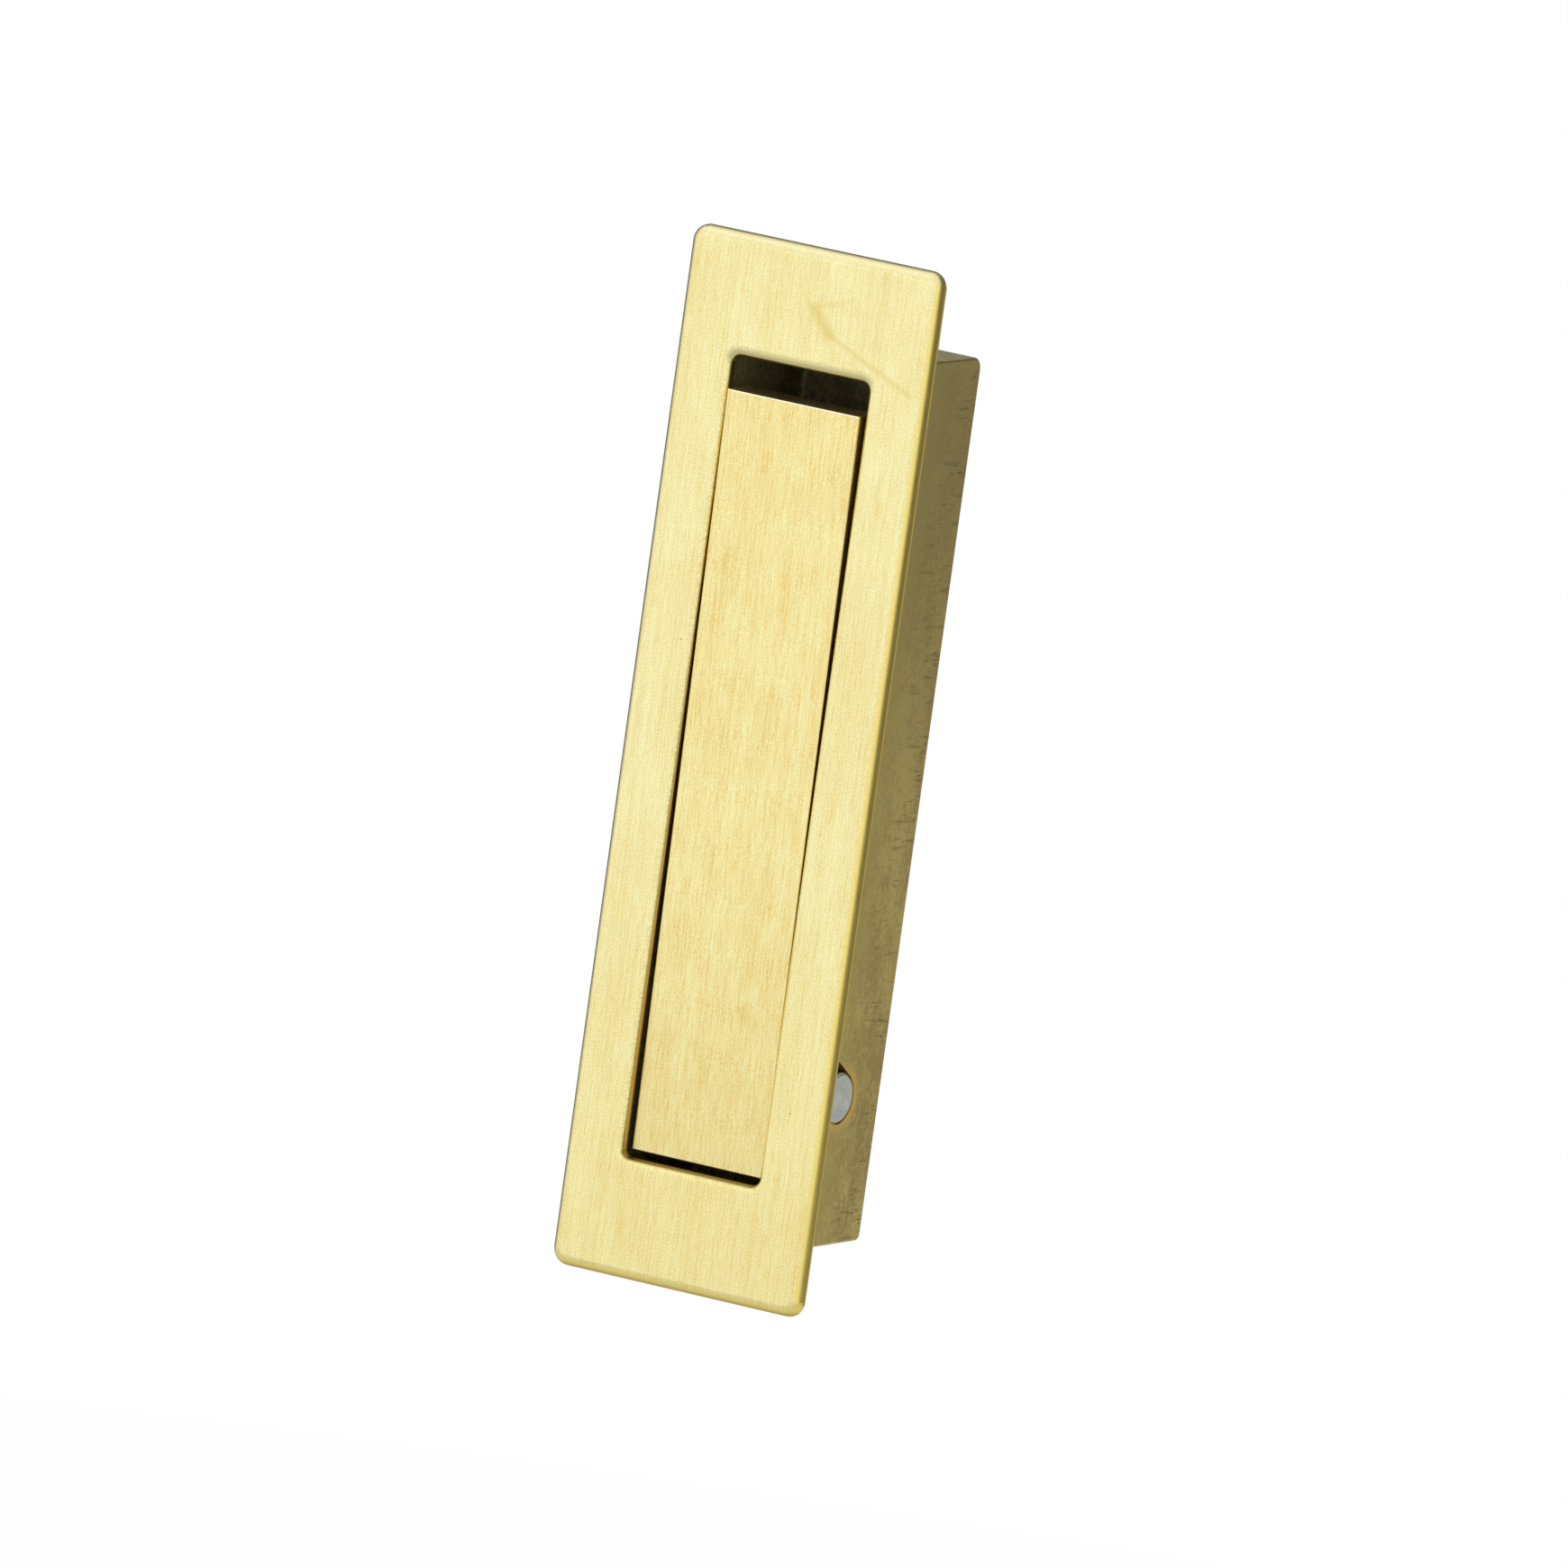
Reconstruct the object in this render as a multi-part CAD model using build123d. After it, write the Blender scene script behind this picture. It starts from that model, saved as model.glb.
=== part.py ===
from build123d import *
import math
import os

# Pocket door pull with a swinging lever, in millimetres.
# It stands as it is fitted in the edge of a door: +Z runs up its length and -Y faces the user.
# The origin is the middle of the face plate's rear plane, which bears on the door's edge.

# Face plate
plate_length = 110.0
plate_width = 30.0
plate_thickness = 1.5
plate_corner_radius = 1.8
plate_edge_radius = 1.2
plate_rear_edge_radius = 0.15
opening_length = 84.6
opening_width = 16.4
opening_corner_radius = 1.0
lip_radius = 0.75
seat_depth = 0.4
seat_clearance = 0.05

# Box behind the plate
box_side_edge_radius = 0.3
box_head_radius = 1.4
box_toe_radius = 0.7
side_wall = 1.6
back_wall = 2.5
head_room = 0.6
toe_room = 5.1
cavity_corner_radius = 0.8
cavity_floor_radius = 0.6

# Fixing holes in the box's back wall
fixing_hole_diameter = 4.2
fixing_head_diameter = 7.6
fixing_head_angle = 90.0
fixing_spacing = 40.0
fixing_centre_height = 10.0

# Pivot pin
pin_diameter = 5.4
pin_running_clearance = 0.06
pin_press_clearance = 0.01
pin_end_chamfer = 0.25
pin_notch_reach = 1.4
pin_notch_width = 1.6
pin_notch_angle = 31.0
pivot_behind_lever = 5.75
pivot_before_back_wall = 5.9
pivot_above_opening_end = 9.0

# Lever
lever_thickness = 4.0
lever_side_gap = 0.3
lever_top_gap = 3.5
lever_setback = 1.35
lever_rest_tilt = 1.4
lever_open_angle = 45.0
lever_edge_radius = 0.2
toe_swing_clearance = 0.75
scoop_radius = 6.0
scoop_depth = 1.2
scoop_from_end = 8.0

# Ears that carry the lever on its pin
ear_thickness = 3.0
ear_rise = 12.0
ear_stop_gap = 0.1
rest_stop_length = 5.0
open_stop_length = 4.0
ear_toe_offset = 0.8
ear_root = 0.8
ear_root_radius = 0.8
ear_corner_radius = 0.6

# Washers between the ears and the box
washer_diameter = 9.4
washer_thickness = 0.9
washer_running_gap = 0.1
washer_bore_clearance = 0.08

# Return spring
spring_wire = 0.9
spring_wire_flat_count = 10
spring_pin_clearance = 0.35
spring_turns = 4
spring_coil_gap = 0.22
spring_contact_gap = 0.1
fixed_leg_length = 10.0
moving_leg_drop = 6.0

# How near an edge has to lie to a plane to count as lying in it
edge_tolerance = 0.01

# Places worked out from the sizes above
pin_radius = pin_diameter / 2
lever_reach = pivot_behind_lever + lever_thickness
pivot_depth = lever_reach + lever_setback - plate_thickness
box_depth = pivot_depth + pivot_before_back_wall + back_wall
pivot_height = pivot_above_opening_end - opening_length / 2
box_top = opening_length / 2 + head_room + side_wall
box_bottom = -(opening_length / 2 + toe_room + side_wall)
box_length = box_top - box_bottom
box_middle = (box_top + box_bottom) / 2
lever_width = opening_width - 2 * lever_side_gap
cavity_width = lever_width + 2 * (washer_thickness + washer_running_gap)
cavity_length = box_length - 2 * side_wall
box_width = cavity_width + 2 * side_wall
tilt = math.radians(lever_rest_tilt)
swing = math.radians(lever_rest_tilt + lever_open_angle)
lever_above = (
    opening_length / 2 - lever_top_gap - pivot_height + lever_reach * math.sin(tilt)
) / math.cos(tilt)
lip_swing_radius = math.hypot(pivot_depth + seat_depth, pivot_above_opening_end)
lever_below = math.sqrt((lip_swing_radius - toe_swing_clearance) ** 2 - lever_reach**2)
stop_radius = pivot_before_back_wall - ear_stop_gap


def front_plane(depth):
    """A sketch plane that faces the user, with X across and Z up, at the given depth."""
    return Plane(origin=(0, depth, 0), x_dir=(1, 0, 0), z_dir=(0, -1, 0))


def upright_slab(width, length, corner_radius, front, rear, middle=0.0):
    """A rounded rectangle, seen from the front, between two depths."""
    outline = Pos(0, middle) * RectangleRounded(width, length, corner_radius)
    return extrude(front_plane(rear) * outline, rear - front)


def edges_at_depth(solid, depth):
    return solid.edges().filter_by_position(
        Axis.Y, depth - edge_tolerance, depth + edge_tolerance
    )


def face_plate():
    """A stamped plate with a rolled front edge, an opening with a rolled lip and a rebate behind."""
    plate = upright_slab(plate_width, plate_length, plate_corner_radius, -plate_thickness, 0)
    plate = fillet(edges_at_depth(plate, -plate_thickness), plate_edge_radius)
    plate = fillet(edges_at_depth(plate, 0), plate_rear_edge_radius)
    plate -= upright_slab(
        box_width + 2 * seat_clearance,
        box_length + 2 * seat_clearance,
        box_side_edge_radius + seat_clearance,
        -seat_depth,
        0,
        box_middle,
    )
    plate -= upright_slab(
        opening_width, opening_length, opening_corner_radius, -plate_thickness, 0
    )
    front_edges = edges_at_depth(plate, -plate_thickness)
    lip = front_edges.filter_by(
        lambda e: abs(e.center().X) <= opening_width / 2 and abs(e.center().Z) <= opening_length / 2
    )
    return fillet(lip, lip_radius)


def countersunk_hole(height):
    """A fixing hole through the back wall, countersunk on the inside."""
    inside = box_depth - back_wall
    head_radius = fixing_head_diameter / 2
    hole_radius = fixing_hole_diameter / 2
    head_depth = (head_radius - hole_radius) / math.tan(math.radians(fixing_head_angle / 2))
    along_y = Rot(X=-90)
    shank = Pos(0, inside + back_wall / 2, height) * along_y * Cylinder(hole_radius, 2 * back_wall)
    head = Pos(0, inside + head_depth / 2, height) * along_y * Cone(head_radius, hole_radius, head_depth)
    return shank + head


def across(radius, length, place=0.0):
    """A cylinder on the pivot axis, centred at the given place across the pull."""
    return Pos(place, pivot_depth, pivot_height) * Rot(Y=90) * Cylinder(radius, length)


def pin_notch():
    """A short slot through both side walls that runs up and forwards from the pin's hole."""
    hole_radius = pin_radius + pin_running_clearance
    reach = hole_radius + pin_notch_reach
    slot = Pos(0, -reach / 2, hole_radius - pin_notch_width / 2) * Box(
        2 * box_width, reach, pin_notch_width
    )
    return Pos(0, pivot_depth, pivot_height) * Rot(X=-pin_notch_angle) * slot


def back_box():
    """A closed brass box, rounded behind at its top and toe, whose open rim sits in the rebate."""
    box = Pos(0, (box_depth - seat_depth) / 2, box_middle) * Box(
        box_width, box_depth + seat_depth, box_length
    )

    def back_edges():
        return edges_at_depth(box, box_depth).filter_by(Axis.X).sort_by(Axis.Z)

    box = fillet(back_edges()[-1], box_head_radius)
    box = fillet(back_edges()[0], box_toe_radius)
    rim = edges_at_depth(box, -seat_depth)
    sides = box.faces().filter_by(Axis.X).edges()
    box = fillet([edge for edge in sides if edge not in rim], box_side_edge_radius)
    cavity = upright_slab(
        cavity_width,
        cavity_length,
        cavity_corner_radius,
        -seat_depth,
        box_depth - back_wall,
        box_middle,
    )
    box -= fillet(edges_at_depth(cavity, box_depth - back_wall), cavity_floor_radius)
    for side in (-1, 1):
        box -= countersunk_hole(fixing_centre_height + side * fixing_spacing / 2)
    box -= pin_notch()
    return box - across(pin_radius + pin_running_clearance, 2 * box_width)


def ear_outline():
    """One ear, seen from the side with Y across and Z up, about the pivot.

    Its rear has two flats that meet the box's back wall, one at rest and one at full swing.
    """
    rest_foot = stop_radius * Vector(math.cos(tilt), -math.sin(tilt))
    rest_top = rest_foot + rest_stop_length * Vector(math.sin(tilt), math.cos(tilt))
    open_foot = stop_radius * Vector(math.cos(swing), -math.sin(swing))
    open_end = open_foot - open_stop_length * Vector(math.sin(swing), math.cos(swing))
    between = (tilt + swing) / 2
    middle = stop_radius * Vector(math.cos(between), -math.sin(between))
    root = -pivot_behind_lever - ear_root
    toe = Vector(root, ear_toe_offset - lever_below)
    shoulder = Vector(root, ear_rise)
    outline = [
        Line(shoulder, rest_top),
        Line(rest_top, rest_foot),
        ThreePointArc(rest_foot, middle, open_foot),
        Line(open_foot, open_end),
        Line(open_end, toe),
        Line(toe, shoulder),
    ]
    ear = make_face(outline)
    corners = ear.vertices().filter_by(
        lambda v: min(abs(v.center() - rest_top), abs(v.center() - open_end)) < edge_tolerance
    )
    return fillet(corners, ear_corner_radius)


def lever():
    """A thick flat bar with a scooped fingertip on the back and two ears around the pin."""
    bar_length = lever_above + lever_below
    bar = Pos(0, lever_thickness / 2 - lever_reach, (lever_above - lever_below) / 2) * Box(
        lever_width, lever_thickness, bar_length
    )
    bar = fillet(edges_at_depth(bar, -lever_reach), lever_edge_radius)
    rear = -pivot_behind_lever
    scoop_centre = rear + scoop_radius - scoop_depth
    scoop = Pos(0, scoop_centre, lever_above - scoop_from_end)
    bar -= scoop * Rot(Y=90) * Cylinder(scoop_radius, 2 * lever_width)
    side_view = Plane(origin=(0, 0, 0), x_dir=(0, 1, 0), z_dir=(1, 0, 0))
    ear = extrude(side_view * ear_outline(), ear_thickness)
    for place in (lever_width / 2 - ear_thickness, -lever_width / 2):
        bar += Pos(place, 0, 0) * ear
    ear_middle = (lever_width - ear_thickness) / 2
    ear_roots = edges_at_depth(bar, rear).filter_by(
        lambda e: abs(abs(e.center().X) - ear_middle) <= ear_thickness / 2 + edge_tolerance
        and abs(e.center().X) < lever_width / 2 - edge_tolerance
    )
    bar = fillet(ear_roots, ear_root_radius)
    bar -= Rot(Y=90) * Cylinder(pin_radius + pin_press_clearance, 2 * lever_width)
    return Pos(0, pivot_depth, pivot_height) * Rot(X=lever_rest_tilt) * bar


def pivot_pin():
    """A straight steel pin, chamfered at both ends and flush with the box's sides."""
    pin = across(pin_radius, box_width)
    ends = pin.edges().filter_by(GeomType.CIRCLE)
    return chamfer(ends, pin_end_chamfer)


def washer(side):
    """A plain nylon washer that keeps an ear off the box's side wall."""
    place = side * (lever_width + washer_thickness) / 2
    disc = across(washer_diameter / 2, washer_thickness, place)
    return disc - across(pin_radius + washer_bore_clearance, 2 * washer_thickness, place)


def return_spring():
    """A torsion spring round the pin, between the ears.

    One leg lies on the box's back wall, and the other pushes the lever's toe forwards.
    """
    coil_radius = pin_radius + spring_pin_clearance + spring_wire / 2
    pitch = spring_wire + spring_coil_gap
    wall_contact = stop_radius + ear_stop_gap - spring_wire / 2 - spring_contact_gap
    start = math.atan2(fixed_leg_length, coil_radius) - math.acos(
        wall_contact / math.hypot(fixed_leg_length, coil_radius)
    )
    toe_y = spring_wire / 2 + spring_contact_gap - pivot_behind_lever
    toe_distance = math.hypot(toe_y, moving_leg_drop)
    toe_bearing = math.atan2(-moving_leg_drop, toe_y) + tilt + 2 * math.pi
    end = toe_bearing - math.acos(coil_radius / toe_distance)
    turned = 2 * math.pi * spring_turns + end - start
    height = pitch * turned / (2 * math.pi)
    moving_leg_length = math.sqrt(toe_distance**2 - coil_radius**2)
    coil = Rot(Z=math.degrees(start)) * Helix(pitch, height, coil_radius)
    fixed_leg = Line(coil @ 0 - fixed_leg_length * (coil % 0), coil @ 0)
    moving_leg = Line(coil @ 1, coil @ 1 + moving_leg_length * (coil % 1))
    path = Wire([fixed_leg.edge(), coil.edge(), moving_leg.edge()])
    wire = RegularPolygon(spring_wire / 2, spring_wire_flat_count)
    section = Plane(origin=path @ 0, z_dir=path % 0) * wire
    wound = sweep(section, path)
    on_pin = Plane(
        origin=(-height / 2, pivot_depth, pivot_height), x_dir=(0, 1, 0), z_dir=(1, 0, 0)
    )
    return on_pin * wound


os.makedirs("parts", exist_ok=True)
pieces = {
    "face_plate": face_plate(),
    "back_box": back_box(),
    "lever": lever(),
    "pivot_pin": pivot_pin(),
    "washer_right": washer(1),
    "washer_left": washer(-1),
    "return_spring": return_spring(),
}
for name, piece in pieces.items():
    export_step(piece, f"parts/{name}.step")
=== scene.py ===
import math

import bmesh
import bpy
from mathutils import Matrix, Vector


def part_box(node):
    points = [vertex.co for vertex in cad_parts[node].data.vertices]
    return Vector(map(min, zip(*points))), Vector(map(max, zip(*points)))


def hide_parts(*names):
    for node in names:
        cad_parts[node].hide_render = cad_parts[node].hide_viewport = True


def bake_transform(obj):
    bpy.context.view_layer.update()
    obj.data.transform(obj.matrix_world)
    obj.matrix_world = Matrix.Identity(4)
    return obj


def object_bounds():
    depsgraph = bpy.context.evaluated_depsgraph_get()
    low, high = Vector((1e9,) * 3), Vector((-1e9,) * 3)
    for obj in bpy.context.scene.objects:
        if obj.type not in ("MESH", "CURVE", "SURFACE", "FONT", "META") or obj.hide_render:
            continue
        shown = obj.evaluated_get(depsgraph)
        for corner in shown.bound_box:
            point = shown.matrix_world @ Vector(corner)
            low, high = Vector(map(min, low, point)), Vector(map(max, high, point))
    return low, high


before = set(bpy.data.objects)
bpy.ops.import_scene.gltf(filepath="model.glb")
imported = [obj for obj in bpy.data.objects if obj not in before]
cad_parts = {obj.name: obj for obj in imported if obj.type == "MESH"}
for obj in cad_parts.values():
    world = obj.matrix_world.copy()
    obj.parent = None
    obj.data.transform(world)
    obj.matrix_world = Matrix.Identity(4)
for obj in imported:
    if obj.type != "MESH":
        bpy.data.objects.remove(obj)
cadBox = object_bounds()
print("frame loaded")

mm = 0.001


# Shader building

class Val:  # one shader value: maths on it adds Math nodes
    def __init__(self, tree, socket=None):
        self.tree = tree
        self.socket = socket

    def add(self, kind, settings=None, values=None, out=0):  # any node: settings first, then sockets
        node = self.tree.nodes.new("ShaderNode" + kind)
        for name, setting in (settings or {}).items():
            setattr(node, name, setting)
        for name, value in (values or {}).items():
            if isinstance(value, Val):
                self.tree.links.new(value.socket, node.inputs[name])
            else:
                node.inputs[name].default_value = value
        return Val(self.tree, node.outputs[out] if len(node.outputs) else None)

    def maths(self, operation, *terms):
        return self.add("Math", {"operation": operation}, dict(enumerate(terms)))

    def __add__(self, other):
        return self.maths("ADD", self, other)

    def __radd__(self, other):
        return self.maths("ADD", other, self)

    def __sub__(self, other):
        return self.maths("SUBTRACT", self, other)

    def __rsub__(self, other):
        return self.maths("SUBTRACT", other, self)

    def __mul__(self, other):
        return self.maths("MULTIPLY", self, other)

    def __rmul__(self, other):
        return self.maths("MULTIPLY", other, self)

    def __truediv__(self, other):
        return self.maths("DIVIDE", self, other)

    def __pow__(self, other):
        return self.maths("POWER", self, other)

    def __abs__(self):
        return self.maths("ABSOLUTE", self)

    def rise(self, low, high):  # 0 at low, 1 at high, smooth between, and low may be the larger
        return self.add(
            "MapRange",
            {"interpolation_type": "SMOOTHSTEP"},
            {"Value": self, "From Min": low, "From Max": high},
        )

    def held(self):  # kept between 0 and 1
        return self.add("MapRange", {}, {"Value": self})


def paint(red, green, blue):  # a colour as a picture shows it, 0 to 255, made linear
    def linear(part):
        share = part / 255
        return share / 12.92 if share <= 0.04045 else ((share + 0.055) / 1.055) ** 2.4
    return (linear(red), linear(green), linear(blue), 1.0)


def mixed(share, below, above, mode="MIX"):
    return share.add("Mix", {"data_type": "RGBA", "blend_type": mode}, {0: share, 6: below, 7: above}, 2)


def newMaterial(name):
    material = bpy.data.materials.new(name)
    material.use_nodes = True
    material.node_tree.nodes.clear()
    return material, Val(material.node_tree)


def places(start):  # the point being shaded, in millimetres, and its three parts
    inMetres = start.add("TexCoord", out="Object")
    point = start.add("VectorMath", {"operation": "SCALE"}, {0: inMetres, "Scale": 1 / mm})
    return point, *[start.add("SeparateXYZ", None, {0: point}, part) for part in "XYZ"]


def facing(start):  # the three parts of the surface's own normal
    normal = start.add("TexCoord", out="Normal")
    return [start.add("SeparateXYZ", None, {0: normal}, part) for part in "XYZ"]


def grain(point, size, detail=2.0, rough=0.5, shift=(0.0, 0.0, 0.0)):  # noise whose features are size mm
    stretched = point.add("VectorMath", {"operation": "DIVIDE"}, {0: point, 1: size})
    moved = point.add("VectorMath", {"operation": "ADD"}, {0: stretched, 1: shift})
    return point.add("TexNoise", None, {"Vector": moved, "Scale": 1.0, "Detail": detail, "Roughness": rough})


def specks(point, spacing, radius, share):  # small round spots, in a share of the cells
    stretched = point.add("VectorMath", {"operation": "SCALE"}, {0: point, "Scale": 1 / spacing})
    near = point.add("TexVoronoi", None, {"Vector": stretched, "Scale": 1.0}, "Distance")
    cell = point.add("TexVoronoi", None, {"Vector": stretched, "Scale": 1.0}, "Color")
    chance = point.add("SeparateColor", None, {0: cell}, 0)
    return near.rise(radius / spacing, 0.4 * radius / spacing) * chance.rise(share + 0.01, share - 0.01)


def stroke(across, up, start, end, width):  # a soft line from start to end
    runX, runZ = end[0] - start[0], end[1] - start[1]
    along = (((across - start[0]) * runX + (up - start[1]) * runZ) / (runX * runX + runZ * runZ)).held()
    offX = across - start[0] - along * runX
    offZ = up - start[1] - along * runZ
    return ((offX * offX + offZ * offZ) ** 0.5).rise(width, 0.0)


def metal(start, color, roughness, height, depth, metallic=1.0):
    bump = start.add("Bump", None, {"Strength": 1.0, "Distance": depth, "Height": height})
    surface = start.add(
        "BsdfPrincipled",
        None,
        {"Base Color": color, "Metallic": metallic, "Roughness": roughness, "Normal": bump},
    )
    start.add("OutputMaterial", None, {"Surface": surface})


# Brushed brass of the face plate and the lever

plateLook = {
    "pale": paint(255, 254, 201),
    "deep": paint(231, 204, 113),
    # painted shade: multiplied in, darker and warmer towards the bottom
    "low": paint(255, 252, 243),
    "stain": paint(226, 205, 112),
    "speck": paint(120, 104, 60),
    "sand": (0.15, 0.15, 0.18),
    "streak": (0.15, 0.15, 1.8),
    "longStreak": (0.17, 0.17, 9.0),
    "band": (1.6, 1.6, 30.0),
    "blotch": (5.0, 5.0, 8.0),
    "lowShadeFrom": -10.0,
    "lowShadeTo": -54.0,
    "sandShare": 0.50,
    "roughness": 0.33,
    "streakDepth": 0.010 * mm,
    "smears": [
        ((0.9, 48.6), (2.8, 46.4), 1.2, 0.60),
        ((2.8, 46.4), (13.2, 41.9), 0.55, 0.42),
        ((0.3, 48.9), (2.9, 49.6), 0.5, 0.30),
        ((2.9, 49.6), (5.4, 50.6), 0.45, 0.18),
    ],
    "rollWidth": 1.6,
    # painted shade: the warm colour of the right and bottom rolls
    "roll": paint(246, 225, 124),
    # painted shade: greyer, darker top roll
    "headRollShade": paint(232, 226, 180),
    # painted shade: greyer, darker left roll
    "sideRollShade": paint(204, 194, 150),
    # painted shade: the dark gold of the right and bottom rolls
    "darkRollShade": paint(184, 154, 66),
    "openingX": 8.2,
    "openingZ": 42.3,
    "openingCorner": 1.0,
    "lipWidth": 1.15,
    # painted shade: grey of the top lip of the opening
    "topLipShade": paint(217, 207, 150),
    # painted shade: the darker inner wall of the opening
    "lipWallShade": paint(206, 178, 92),
    # painted shade: dark olive line of the lip
    "lipFootShade": paint(140, 122, 66),
}

leverLook = {
    "pale": paint(255, 252, 190),
    "deep": paint(233, 197, 105),
    # painted shade: multiplied in, darker and warmer towards the bottom
    "low": paint(251, 248, 243),
    "stain": paint(228, 203, 118),
    "speck": paint(130, 108, 62),
    "sand": (0.14, 0.14, 0.17),
    "streak": (0.13, 0.13, 2.4),
    "longStreak": (0.14, 0.14, 14.0),
    "band": (1.3, 1.3, 40.0),
    "blotch": (4.0, 4.0, 6.0),
    "lowShadeFrom": -10.0,
    "lowShadeTo": -54.0,
    "sandShare": 0.42,
    "roughness": 0.33,
    "streakDepth": 0.012 * mm,
    "smears": [
        ((2.8, -1.9), (6.5, -4.0), 0.8, 0.22),
        ((3.2, -24.6), (4.4, -26.4), 1.2, 0.25),
        ((-2.0, -29.5), (-0.6, -31.5), 1.4, 0.22),
    ],
    # painted highlight: the pale line along the lever's edges
    "rim": paint(255, 250, 226),
    "end": paint(236, 220, 166),
}


def brushed(start, look):  # colour, height and roughness of a face brushed lengthwise, sandy on its rolls
    point, x, _, z = places(start)
    normalY = facing(start)[1]
    flat = (0 - normalY).rise(0.80, 0.97)  # 1 on the brushed front, 0 round the rolled edges
    sand = grain(point, look["sand"], 2.0, 0.6)
    fine = grain(point, look["streak"], 2.0, 0.5)
    long = grain(point, look["longStreak"], 2.0, 0.5, (7.3, 0.0, 2.1))
    band = grain(point, look["band"], 1.0, 0.5, (1.0, 0.0, 5.0))
    cloud = grain(point, look["blotch"], 3.0, 0.55, (0.0, 4.0, 9.0))
    share = look["sandShare"]
    lines = (fine.rise(0.37, 0.54) + long.rise(0.37, 0.54)) * 0.5 * (1 - share)
    lines = lines + sand.rise(0.38, 0.59) * share
    drift = band.rise(0.35, 0.65) * 0.4 + cloud.rise(0.36, 0.66) * 0.6
    tone = (lines * 0.8 + drift * 0.2) * flat + sand.rise(0.3, 0.7) * (1 - flat)
    color = mixed(tone, look["deep"], look["pale"])
    # painted shade: the colour grows darker and warmer towards the bottom
    color = mixed(z.rise(look["lowShadeFrom"], look["lowShadeTo"]), color, look["low"], "MULTIPLY")
    for begin, end, width, strength in look["smears"]:
        color = mixed(stroke(x, z, begin, end, width) * strength * flat, color, look["stain"])
    dust = specks(point, 5.0, 0.11, 0.22)
    color = mixed(dust * 0.8, color, look["speck"])
    roughness = look["roughness"] + (fine - 0.5) * 0.16
    height = fine * flat + long * flat * 0.5 + sand * (1 - flat) * 0.5 - dust
    return color, height, roughness


def plateBrass(name, look):
    material, start = newMaterial(name)
    point, x, _, z = places(start)
    normalX, _, normalZ = facing(start)
    color, height, roughness = brushed(start, look)
    lowest, highest = [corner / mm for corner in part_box("face_plate")]
    roll = look["rollWidth"]
    atRight = (x - highest.x).rise(-roll, -0.5 * roll)
    atFoot = (z - lowest.z).rise(roll, 0.5 * roll)
    # painted shade: the right and bottom rolls made yellower, as their reflections are
    rollShade = atRight * normalX.rise(0.2, 0.85) + atFoot * normalZ.rise(0.0, -0.75)
    color = mixed(rollShade, color, look["roll"])
    atHead = (z - highest.z).rise(-roll, -0.5 * roll)
    atLeft = (x - lowest.x).rise(roll, 0.5 * roll)
    # painted shade: the top roll toned down and greyed
    color = mixed(atHead * normalZ.rise(0.05, 0.5) * 0.6, color, look["headRollShade"])
    # painted shade: the left roll darker and greyer at the outline
    color = mixed(atLeft * normalX.rise(-0.1, -0.6) * 0.5, color, look["sideRollShade"])
    # painted shade: a dark gold line along the right and bottom rolls
    darkRollShade = atRight * normalX.rise(0.93, 0.985) * (1 - normalX.rise(0.998, 0.9999) * 0.6)
    darkRollShade = darkRollShade + atFoot * normalZ.rise(-0.45, -0.85)
    color = mixed(darkRollShade.held() * 0.8, color, look["darkRollShade"])
    ragged = (grain(point, (0.25, 0.25, 0.25), 3.0, 0.6, (2.0, 5.0, 1.0)) - 0.5) * 1.2
    cornerX = abs(x) - (look["openingX"] - look["openingCorner"])
    cornerZ = abs(z) - (look["openingZ"] - look["openingCorner"])
    cornerX, cornerZ = cornerX.maths("MAXIMUM", cornerX, 0.0), cornerZ.maths("MAXIMUM", cornerZ, 0.0)
    beyond = (cornerX * cornerX + cornerZ * cornerZ) ** 0.5 - look["openingCorner"]
    aboveOpening = z.rise(look["openingZ"] - 1.0, look["openingZ"]) * cornerX.rise(2.0, 1.2)
    # painted shade: a ragged grey band on the top lip of the opening, which faces down
    topLipShade = (beyond + ragged).rise(look["lipWidth"], look["lipWidth"] - 0.3) * aboveOpening
    color = mixed(topLipShade * 0.9, color, look["topLipShade"])
    # painted shade: the opening's inner wall darker, less so on the top lip
    color = mixed(beyond.rise(0.20, 0.02) * (1 - aboveOpening * 0.85), color, look["lipWallShade"])
    # painted shade: a dark olive line along the lip where it faces up
    color = mixed(beyond.rise(0.44, 0.14) * normalZ.rise(0.1, 0.4), color, look["lipFootShade"])
    metal(start, color, roughness, height, look["streakDepth"])
    return material


def leverBrass(name, look):
    material, start = newMaterial(name)
    normalX, normalY, normalZ = facing(start)
    color, height, roughness = brushed(start, look)
    # painted highlight: a pale line along the lever's edges, except where they face right
    highlitEdge = (0 - normalY).rise(0.97, 0.85) * (0 - normalY).rise(0.1, 0.3)
    color = mixed(highlitEdge * normalX.rise(0.3, 0.0), color, look["rim"])
    color = mixed(normalZ.rise(0.8, 0.95) * 0.6, color, look["end"])
    metal(start, color, roughness, height, look["streakDepth"])
    return material


# Dull brass of the box, with painted shade inside

boxLook = {
    "pale": paint(216, 199, 120),
    "deep": paint(178, 158, 92),
    # painted light: lighter wall near the face plate
    "near": paint(206, 188, 106),
    "shade": paint(158, 142, 84),
    "rust": paint(190, 150, 84),
    # painted reflection: paler, greyer top face
    "head": paint(240, 232, 184),
    "insideShadePale": paint(172, 160, 112),
    "insideShadeDeep": paint(118, 108, 76),
    "burnish": paint(232, 192, 92),
    "scratch": paint(96, 90, 58),
    "smudge": paint(112, 102, 62),
    "wall": 0.5,
    "nearLightFrom": 12.5,
    "nearLightTo": 8.5,
    "shadeFrom": -24.0,
    "shadeTo": 40.0,
    "ringWidth": 1.5,
    "smudgeReach": (10.0, 3.0),
    "cutReach": (7.0, 1.5),
    "pitReach": (-36.0, -44.0),
    "roughness": 0.42,
    "scratchDepth": 0.03 * mm,
}


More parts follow.
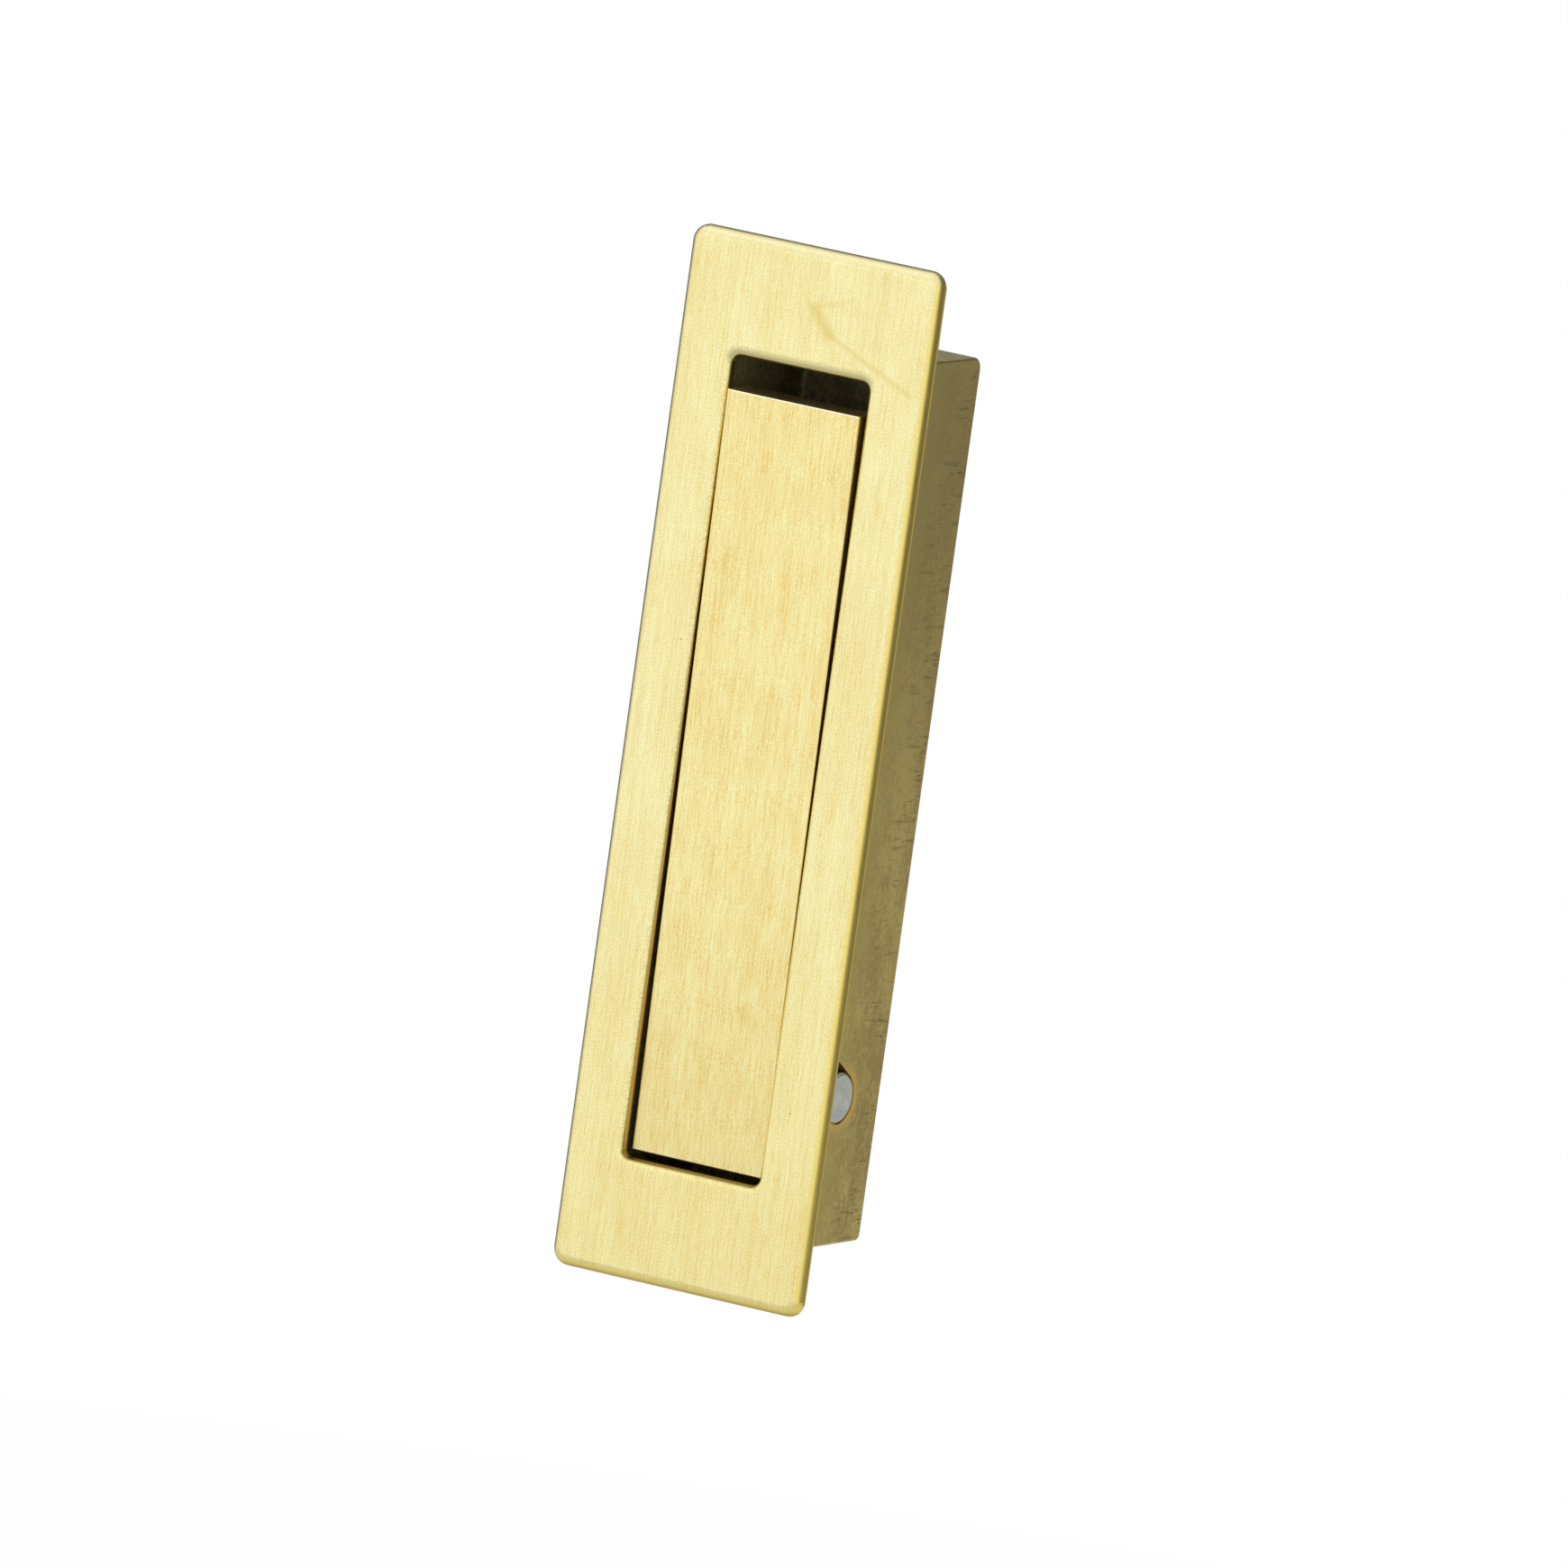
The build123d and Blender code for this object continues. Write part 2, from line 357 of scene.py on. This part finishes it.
def boxBrass(name, look):
    material, start = newMaterial(name)
    point, x, y, z = places(start)
    _, normalY, normalZ = facing(start)
    lowest, highest = [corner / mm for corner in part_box("back_box")]
    pinLow, pinHigh = [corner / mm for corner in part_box("pivot_pin")]
    pinY, pinZ = (pinLow.y + pinHigh.y) / 2, (pinLow.z + pinHigh.z) / 2
    pinRadius = (pinHigh.z - pinLow.z) / 2
    wall = look["wall"]
    right, rear, head, foot = highest.x - wall, highest.y - wall, highest.z - wall, lowest.z + wall
    inside = abs(x).rise(right, right - 0.2) * y.rise(rear, rear - 0.2)
    inside = inside * z.rise(head, head - 0.2) * z.rise(foot, foot + 0.2)
    fog = grain(point, (0.55, 0.55, 0.7), 4.0, 0.65)
    cloud = grain(point, (2.6, 2.6, 4.5), 3.0, 0.55)
    wide = grain(point, (9.0, 9.0, 22.0), 2.0, 0.5, (3.0, 1.0, 5.0))
    tone = (fog * 0.4 + cloud * 0.35 + wide * 0.25).rise(0.38, 0.62)
    color = mixed(tone, look["deep"], look["pale"])
    # painted light: the side walls lighter near the face plate
    color = mixed(y.rise(look["nearLightFrom"], look["nearLightTo"]) * 0.5, color, look["near"])
    color = mixed(z.rise(look["shadeFrom"], look["shadeTo"]) * 0.7, color, look["shade"])
    blush = grain(point, (1.8, 1.8, 2.4), 2.0, 0.5, (5.0, 8.0, 0.0)).rise(0.56, 0.72)
    color = mixed(blush * 0.35, color, look["rust"])
    # painted reflection: the top face paler and greyer
    color = mixed(normalZ.rise(0.5, 0.9), color, look["head"])
    offY, offZ = y - pinY, z - pinZ
    ring = ((offY * offY + offZ * offZ) ** 0.5).rise(pinRadius + look["ringWidth"], pinRadius + 0.1)
    color = mixed(ring * 0.75, color, look["burnish"])
    smudges = grain(point, (4.0, 4.0, 0.55), 2.0, 0.55, (6.0, 1.0, 4.0)).rise(0.58, 0.73)
    onSides = (1 - normalY.rise(0.5, 0.9) * 0.65) * (1 - abs(normalZ).rise(0.5, 0.9) * 0.9)
    far, close = look["smudgeReach"]
    smudges = smudges * y.rise(highest.y - far, highest.y - close) * onSides * (1 - inside)
    color = mixed(smudges * 0.4, color, look["smudge"])
    far, close = look["cutReach"]
    nearRear = y.rise(highest.y - far, highest.y - close)
    cuts = grain(point, (1.6, 1.6, 0.16), 2.0, 0.5, (0.0, 2.0, 0.0)).rise(0.59, 0.70)
    where = grain(point, (4.0, 4.0, 3.0), 1.0, 0.5, (9.0, 0.0, 1.0)).rise(0.46, 0.58)
    scratches = cuts * where * nearRear
    pits = specks(point, 1.1, 0.16, 0.16) * nearRear * z.rise(*look["pitReach"])
    marks = (scratches * 0.7 + pits).held() * onSides * (1 - inside)
    color = mixed(marks * 0.85, color, look["scratch"])
    # painted shade: the inside of the box darker, with a random tone
    insideShadeTone = (fog * 0.5 + wide * 0.5).rise(0.36, 0.64)
    color = mixed(inside, color, mixed(insideShadeTone, look["insideShadeDeep"], look["insideShadePale"]))
    roughness = look["roughness"] + (cloud - 0.5) * 0.14 - ring * 0.08
    height = fog * 0.2 + cloud * 0.2 - marks
    metal(start, color, roughness, height, look["scratchDepth"], 1 - inside * 0.7)
    return material


# Steel of the pin and the spring

pinLook = {
    "pale": paint(234, 238, 232),
    "deep": paint(208, 211, 204),
    "pit": paint(140, 140, 138),
    "roughness": 0.5,
    "grainDepth": 0.012 * mm,
}

wireLook = {
    "pale": paint(170, 170, 172),
    "deep": paint(118, 118, 122),
    "pit": paint(90, 88, 86),
    "roughness": 0.3,
    "grainDepth": 0.01 * mm,
}


def satinSteel(name, look, size):
    material, start = newMaterial(name)
    point = places(start)[0]
    fine = grain(point, size, 3.0, 0.6)
    cloud = grain(point, (1.6, 1.6, 1.6), 2.0, 0.5)
    color = mixed((fine * 0.5 + cloud * 0.5).rise(0.35, 0.65), look["deep"], look["pale"])
    pits = specks(point, 0.8, 0.09, 0.3)
    color = mixed(pits * 0.6, color, look["pit"])
    roughness = look["roughness"] + (fine - 0.5) * 0.2
    metal(start, color, roughness, fine - pits, look["grainDepth"])
    return material


# Black nylon of the washers

washerLook = {"pale": paint(44, 44, 46), "deep": paint(30, 30, 31), "roughness": 0.5}


def nylon(name, look):
    material, start = newMaterial(name)
    point = places(start)[0]
    cloud = grain(point, (0.8, 0.8, 0.8), 3.0, 0.6)
    color = mixed(cloud.rise(0.35, 0.65), look["deep"], look["pale"])
    roughness = look["roughness"] + (cloud - 0.5) * 0.15
    metal(start, color, roughness, cloud, 0.01 * mm, 0.0)
    return material


def dress(node, material):
    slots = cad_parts[node].data.materials
    slots.clear()
    slots.append(material)


washerMaterial = nylon("black nylon", washerLook)
wireMaterial = satinSteel("spring wire", wireLook, (0.2, 0.2, 0.2))
dress("face_plate", plateBrass("brushed brass plate", plateLook))
dress("lever", leverBrass("brushed brass lever", leverLook))
dress("back_box", boxBrass("dull brass box", boxLook))
dress("pivot_pin", satinSteel("faced steel pin", pinLook, (0.12, 0.12, 0.12)))
dress("washer_right", washerMaterial)
dress("washer_left", washerMaterial)
print("materials made")


# Return spring, wound round the pin

springMake = {
    "wire": 0.9,
    "turns": 4,
    "coilGap": 0.22,
    "pinClearance": 0.35,
    "fixedLeg": 10.0,
    "movingLegDrop": 6.0,
    "contactGap": 0.1,
    "pivotBehindLever": 5.75,
    "pivotBeforeWall": 5.9,
    "restTilt": 1.4,
    "stepsPerTurn": 64,
    "stepsPerLeg": 8,
    "sides": 20,
    "endRound": 0.12,
}


def springPath(make):  # points along the middle of the wire, in millimetres
    low, high = [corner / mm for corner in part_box("pivot_pin")]
    middle = (low + high) / 2
    wireRadius = make["wire"] / 2
    coilRadius = (high.z - low.z) / 2 + make["pinClearance"] + wireRadius
    wallContact = make["pivotBeforeWall"] - wireRadius - make["contactGap"]
    begin = math.atan2(make["fixedLeg"], coilRadius)
    begin -= math.acos(wallContact / math.hypot(make["fixedLeg"], coilRadius))
    toeY = wireRadius + make["contactGap"] - make["pivotBehindLever"]
    toeFar = math.hypot(toeY, make["movingLegDrop"])
    bearing = math.atan2(-make["movingLegDrop"], toeY) + math.radians(make["restTilt"]) + 2 * math.pi
    finish = bearing - math.acos(coilRadius / toeFar) + 2 * math.pi * make["turns"]
    pitch = make["wire"] + make["coilGap"]
    length = pitch * (finish - begin) / (2 * math.pi)

    def onCoil(angle):
        along = pitch * (angle - begin) / (2 * math.pi) - length / 2
        return middle + Vector((along, coilRadius * math.cos(angle), coilRadius * math.sin(angle)))

    def heading(angle):
        way = Vector((pitch / (2 * math.pi), -coilRadius * math.sin(angle), coilRadius * math.cos(angle)))
        return way.normalized()

    steps = int(make["stepsPerTurn"] * (finish - begin) / (2 * math.pi))
    coil = [onCoil(begin + (finish - begin) * i / steps) for i in range(steps + 1)]
    movingLeg = math.sqrt(toeFar ** 2 - coilRadius ** 2)
    legSteps = make["stepsPerLeg"]
    fixed = [coil[0] - heading(begin) * make["fixedLeg"] * (1 - i / legSteps) for i in range(legSteps)]
    moving = [coil[-1] + heading(finish) * movingLeg * (i + 1) / legSteps for i in range(legSteps)]
    return fixed + coil + moving, length


def tube(name, path, radius, sides, endRound):  # a closed round tube along a path, its ends rounded over
    mesh = bmesh.new()
    rings = []
    side = Vector((1.0, 0.0, 0.0))
    rim = [(0.0, radius - endRound), (endRound * 0.3, radius - endRound * 0.3), (endRound, radius)]
    count = len(path)
    for i, place in enumerate(path):
        way = (path[min(i + 1, count - 1)] - path[max(i - 1, 0)]).normalized()
        side = (side - way * side.dot(way)).normalized()
        other = way.cross(side)
        sections = [(0.0, radius)]
        if i == 0:
            sections = rim
        elif i == count - 1:
            sections = [(-back, size) for back, size in reversed(rim)]
        for back, size in sections:
            ring = []
            for j in range(sides):
                turn = 2 * math.pi * j / sides
                spot = place + way * back + (side * math.cos(turn) + other * math.sin(turn)) * size
                ring.append(mesh.verts.new(spot * mm))
            rings.append(ring)
    for first, second in zip(rings, rings[1:]):
        for j in range(sides):
            k = (j + 1) % sides
            mesh.faces.new((first[j], first[k], second[k], second[j]))
    mesh.faces.new(list(reversed(rings[0])))
    mesh.faces.new(rings[-1])
    bmesh.ops.recalc_face_normals(mesh, faces=mesh.faces)
    data = bpy.data.meshes.new(name)
    mesh.to_mesh(data)
    mesh.free()
    data.shade_smooth()
    piece = bpy.data.objects.new(name, data)
    bpy.context.scene.collection.objects.link(piece)
    return piece


springLine, springLength = springPath(springMake)
spring = tube(
    "wound_spring",
    springLine,
    springMake["wire"] / 2,
    springMake["sides"],
    springMake["endRound"],
)
spring.data.materials.append(wireMaterial)
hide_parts("return_spring")
legEdge = (springLength - springMake["wire"]) / 2 * mm
-legEdge
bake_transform(spring)
print("spring made")


# Floor, light and camera

stageLook = {
    "floorColor": paint(240, 240, 238),
    "floorDrop": 100 * mm,
    "floorRadius": 0.45,
    "floorShown": 0.98,
    "floorMirrored": 0.25,
    "keyPower": 0.15,
    "keySize": 0.5,
    "keyPlace": (-0.38, -0.26, 0.78),
}


def raysSeen(start):  # 1 for rays from the camera, and 1 for rays that a metal or a glass sends on
    seen = start.add("LightPath", out="Is Camera Ray")
    mirrored = start.add("LightPath", out="Is Glossy Ray")
    mirrored = mirrored + start.add("LightPath", out="Is Transmission Ray")
    return seen, mirrored.held() * (1 - seen)


def makeFloor(look):
    material, start = newMaterial("pale floor")
    paper = start.add("BsdfDiffuse", None, {"Color": look["floorColor"]})
    white = start.add("Emission", None, {"Color": (1.0, 1.0, 1.0, 1.0), "Strength": 1.0})
    seen, mirrored = raysSeen(start)
    share = seen * look["floorShown"] + mirrored * look["floorMirrored"]
    shown = start.add("MixShader", None, {0: share, 1: paper, 2: white})
    start.add("OutputMaterial", None, {"Surface": shown})
    mesh = bmesh.new()
    bmesh.ops.create_circle(mesh, cap_ends=True, segments=96, radius=look["floorRadius"])
    data = bpy.data.meshes.new("floor")
    mesh.to_mesh(data)
    mesh.free()
    floor = bpy.data.objects.new("floor", data)
    floor.location = (0.0, 0.0, cadBox[0][2] - look["floorDrop"])
    floor.data.materials.append(material)
    bpy.context.scene.collection.objects.link(floor)


def makeLight(look):
    lamp = bpy.data.lights.new("key light", "AREA")
    lamp.shape = "SQUARE"
    lamp.size = look["keySize"]
    lamp.energy = look["keyPower"]
    holder = bpy.data.objects.new("key light", lamp)
    holder.location = look["keyPlace"]
    holder.rotation_euler = (-holder.location).to_track_quat("-Z", "Y").to_euler()
    bpy.context.scene.collection.objects.link(holder)


studioLook = {
    "fill": 0.7,
    "backdrop": 1.06,
    "backdropColor": (1.0, 0.985, 0.98, 1.0),
    "card": 0.11,
    "cardEdge": (0.55, -0.1),
    "rightCard": 0.53,
    "leftCard": 0.42,
    "overhead": 0.30,
    "glow": 0.45,
    "glowPlace": (0.47, 0.87, -0.15),
    "glowEdge": (0.82, 1.0),
    "ground": 0.30,
    "groundEdge": (-0.2, -0.45),
}


def makeWorld(look):  # a white backdrop, which dark cards at the right and behind cover in reflections
    world = bpy.data.worlds.new("studio")
    bpy.context.scene.world = world
    world.use_nodes = True
    world.node_tree.nodes.clear()
    start = Val(world.node_tree)
    way = start.add("TexCoord", out="Generated")
    x, y, z = [start.add("SeparateXYZ", None, {0: way}, part) for part in "XYZ"]
    toRight, toTop = x.maths("MAXIMUM", x, 0.0), z.maths("MAXIMUM", z, 0.0)
    toLeft = x.maths("MAXIMUM", -0.5 - x, 0.0)
    covered = y + toRight * look["rightCard"] + toLeft * look["leftCard"] - toTop * look["overhead"]
    clear = covered.rise(*look["cardEdge"])
    ground = z.rise(*look["groundEdge"]) * look["ground"]
    towards = {0: way, 1: look["glowPlace"]}
    toGlow = start.add("VectorMath", {"operation": "DOT_PRODUCT"}, towards, "Value")
    cards = look["card"] + clear * (look["backdrop"] - look["card"]) * (1 - ground)
    cards = cards + toGlow.rise(*look["glowEdge"]) * look["glow"]
    seen, mirrored = raysSeen(start)
    strength = seen + mirrored * cards + (1 - seen - mirrored) * look["fill"]
    color = mixed(seen, look["backdropColor"], (1.0, 1.0, 1.0, 1.0))
    light = start.add("Background", None, {"Color": color, "Strength": strength})
    start.add("OutputWorld", None, {"Surface": light})


cameraFit = {
    "azimuth": 28.61,
    "elevation": 8.69,
    "roll": 7.92,
    "distance": 2921.7,
    "lens": 649.7,
    "sensor": 36.0,
    "farthest": 10.0,
    "originRight": -3.387,
    "originUp": 1.405,
}


def makeCamera(fit):
    azimuth, elevation, roll = [math.radians(fit[part]) for part in ("azimuth", "elevation", "roll")]
    back = Vector((
        math.sin(azimuth) * math.cos(elevation),
        -math.cos(azimuth) * math.cos(elevation),
        math.sin(elevation),
    ))
    level = Vector((math.cos(azimuth), math.sin(azimuth), 0.0))
    upright = back.cross(level)
    right = level * math.cos(roll) + upright * math.sin(roll)
    up = upright * math.cos(roll) - level * math.sin(roll)
    data = bpy.data.cameras.new("camera")
    data.lens = fit["lens"]
    data.sensor_width = fit["sensor"]
    data.clip_end = fit["farthest"]
    camera = bpy.data.objects.new("camera", data)
    place = (back * fit["distance"] - right * fit["originRight"] - up * fit["originUp"]) * mm
    turn = Matrix((right, up, back)).transposed().to_4x4()
    camera.matrix_world = Matrix.Translation(place) @ turn
    bpy.context.scene.collection.objects.link(camera)
    bpy.context.scene.camera = camera


makeFloor(stageLook)
makeLight(stageLook)
makeWorld(studioLook)
makeCamera(cameraFit)
bpy.context.scene.view_settings.view_transform = "Standard"
print("stage, light and camera made")
